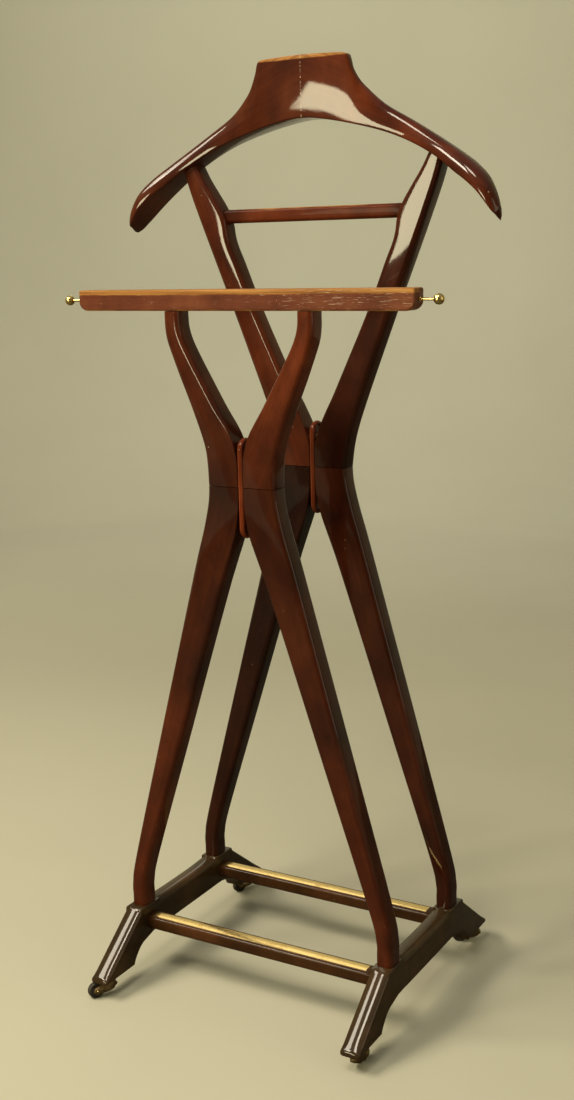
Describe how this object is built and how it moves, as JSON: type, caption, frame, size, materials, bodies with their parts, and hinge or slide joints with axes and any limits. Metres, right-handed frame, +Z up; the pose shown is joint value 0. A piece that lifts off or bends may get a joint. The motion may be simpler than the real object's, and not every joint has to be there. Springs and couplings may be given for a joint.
{
  "type": "valet stand",
  "caption": "Wooden valet stand: waisted crossed frames on footed side rails with casters, a coat hanger, a trouser bar and a dressing board with brass knobs.",
  "frame": {"origin": "on the floor under the middle of the stand, where the bounding box's base has its centre", "axes": "+X to the right of someone facing the stand, +Y to the back, +Z up; the dressing board is at the front, towards -Y"},
  "size_m": [0.484, 0.3656, 1.089],
  "materials": {
    "wood": "dark red-brown glossy lacquer",
    "worn_wood": "red-brown lacquer, rubbed light along its upper edges",
    "dowel": "bare beech",
    "brass": "polished brass with light wear",
    "aged_brass": "dull aged brass",
    "wheel": "dark brown hard plastic"
  },
  "bodies": {
    "frame": {"board_dowel_left": "dowel", "board_dowel_right": "dowel", "board_knob_left": "brass", "board_knob_right": "brass", "caster_plate_front_left": "aged_brass", "caster_plate_front_right": "aged_brass", "caster_plate_rear_left": "aged_brass", "caster_plate_rear_right": "aged_brass", "dressing_board": "worn_wood", "front_arm_dowel_left": "dowel", "front_arm_dowel_right": "dowel", "front_arm_left": "wood", "front_arm_right": "wood", "front_leg_dowel_left": "dowel", "front_leg_dowel_right": "dowel", "front_leg_left": "wood", "front_leg_right": "wood", "front_rung": "wood", "front_rung_strip": "brass", "front_waist_dowel_lower": "dowel", "front_waist_dowel_upper": "dowel", "front_waist_spacer": "wood", "hanger": "wood", "hanger_dowel_left": "dowel", "hanger_dowel_right": "dowel", "rear_arm_dowel_left": "dowel", "rear_arm_dowel_right": "dowel", "rear_arm_left": "wood", "rear_arm_right": "wood", "rear_leg_dowel_left": "dowel", "rear_leg_dowel_right": "dowel", "rear_leg_left": "wood", "rear_leg_right": "wood", "rear_rung": "wood", "rear_rung_strip": "brass", "rear_waist_dowel_lower": "dowel", "rear_waist_dowel_upper": "dowel", "rear_waist_spacer": "wood", "side_rail_left": "wood", "side_rail_right": "wood", "trouser_bar": "worn_wood"},
    "caster_front_left": {"caster_horn_front_left": "aged_brass", "caster_axle_front_left": "brass"},
    "wheel_front_left": {"caster_wheel_front_left": "wheel"},
    "caster_front_right": {"caster_horn_front_right": "aged_brass", "caster_axle_front_right": "brass"},
    "wheel_front_right": {"caster_wheel_front_right": "wheel"},
    "caster_rear_left": {"caster_horn_rear_left": "aged_brass", "caster_axle_rear_left": "brass"},
    "wheel_rear_left": {"caster_wheel_rear_left": "wheel"},
    "caster_rear_right": {"caster_horn_rear_right": "aged_brass", "caster_axle_rear_right": "brass"},
    "wheel_rear_right": {"caster_wheel_rear_right": "wheel"}
  },
  "joints": [
    {"name": "caster_swivel_front_left", "type": "hinge", "parent": "frame", "child": "caster_front_left", "pos_m": [-0.1685, -0.162, 0.015], "axis": [0, 0, 1], "continuous": true},
    {"name": "wheel_spin_front_left", "type": "hinge", "parent": "caster_front_left", "child": "wheel_front_left", "pos_m": [-0.1765, -0.17586, 0.01], "axis": [0.866, -0.5, 0], "continuous": true},
    {"name": "caster_swivel_front_right", "type": "hinge", "parent": "frame", "child": "caster_front_right", "pos_m": [0.1685, -0.162, 0.015], "axis": [0, 0, 1], "continuous": true},
    {"name": "wheel_spin_front_right", "type": "hinge", "parent": "caster_front_right", "child": "wheel_front_right", "pos_m": [0.16794, -0.14601, 0.01], "axis": [-0.9994, -0.0349, 0], "continuous": true},
    {"name": "caster_swivel_rear_left", "type": "hinge", "parent": "frame", "child": "caster_rear_left", "pos_m": [-0.1685, 0.162, 0.015], "axis": [0, 0, 1], "continuous": true},
    {"name": "wheel_spin_rear_left", "type": "hinge", "parent": "caster_rear_left", "child": "wheel_rear_left", "pos_m": [-0.17397, 0.14697, 0.01], "axis": [0.9397, -0.342, 0], "continuous": true},
    {"name": "caster_swivel_rear_right", "type": "hinge", "parent": "frame", "child": "caster_rear_right", "pos_m": [0.1685, 0.162, 0.015], "axis": [0, 0, 1], "continuous": true},
    {"name": "wheel_spin_rear_right", "type": "hinge", "parent": "caster_rear_right", "child": "wheel_rear_right", "pos_m": [0.154, 0.15524, 0.01], "axis": [0.4226, -0.9063, 0], "continuous": true}
  ]
}
